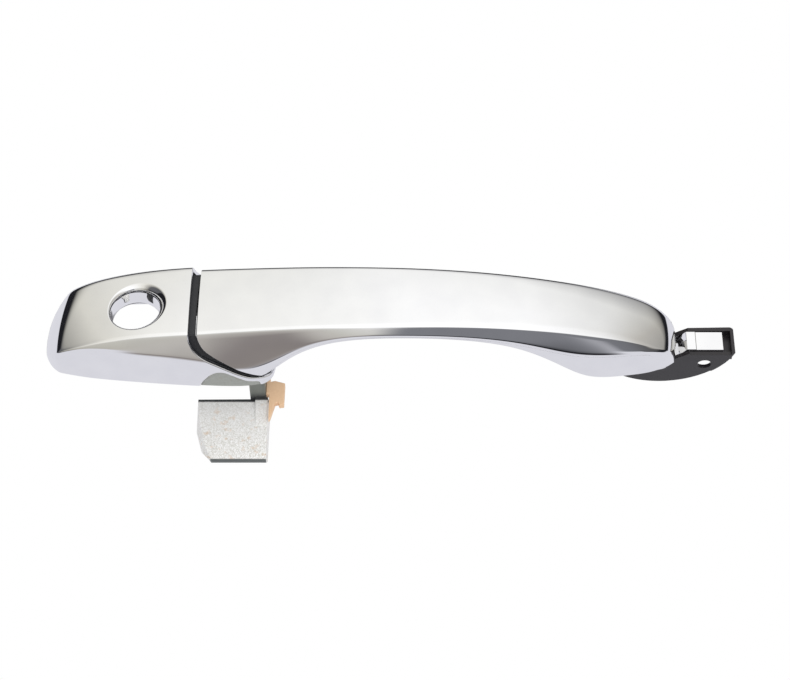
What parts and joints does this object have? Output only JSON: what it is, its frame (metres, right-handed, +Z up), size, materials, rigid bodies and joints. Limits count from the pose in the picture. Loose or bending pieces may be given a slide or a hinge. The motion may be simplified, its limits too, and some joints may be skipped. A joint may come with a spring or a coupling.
{
  "type": "car door pull handle",
  "caption": "Chrome outside door handle: fixed lock cap with key-cylinder bore, hinged arched grip, cast latch-pulling leg and pivot guide.",
  "frame": {"origin": "where the lock cylinder's axis crosses the outside of the door skin", "axes": "+X along the handle from the lock cap to the pivot, +Y into the door (the street side is -Y), +Z up"},
  "size_m": [0.2441, 0.0634, 0.0496],
  "materials": {
    "chrome": "bright chrome plating on moulded ABS",
    "nylon": "glass-filled nylon, moulded",
    "guide_nylon": "black nylon, moulded, slight gloss",
    "seal_rubber": "EPDM rubber",
    "screw_steel": "zinc-plated steel",
    "brass": "turned brass",
    "zinc": "die-cast zinc, as cast",
    "acetal": "peach acetal, moulded"
  },
  "bodies": {
    "lock_cap": {"cap_shell": "chrome", "cap_frame": "nylon", "cap_frame_screws": "screw_steel", "cap_end_seal": "seal_rubber", "cap_gasket": "seal_rubber", "clamp_insert": "brass", "tail_bumpers": "seal_rubber", "lock_seal": "seal_rubber", "arch_block": "zinc", "lip_gutter": "nylon"},
    "pull_handle": {"grip_outer_shell": "chrome", "grip_inner_shell": "chrome", "grip_core": "nylon", "tail_end_plug": "seal_rubber", "tail_liner": "nylon", "rear_leg": "zinc", "rear_leg_screws": "screw_steel", "anti_rattle_clip": "acetal", "hinge_tongue": "chrome", "hinge_guide": "guide_nylon", "hinge_screws": "screw_steel", "front_foot_pad": "seal_rubber"}
  },
  "joints": [
    {"name": "handle_pull", "type": "hinge", "parent": "lock_cap", "child": "pull_handle", "pos_m": [0.2009, 0.0095, 0], "axis": [0, 0, 1], "range_deg": [0, 7]}
  ]
}
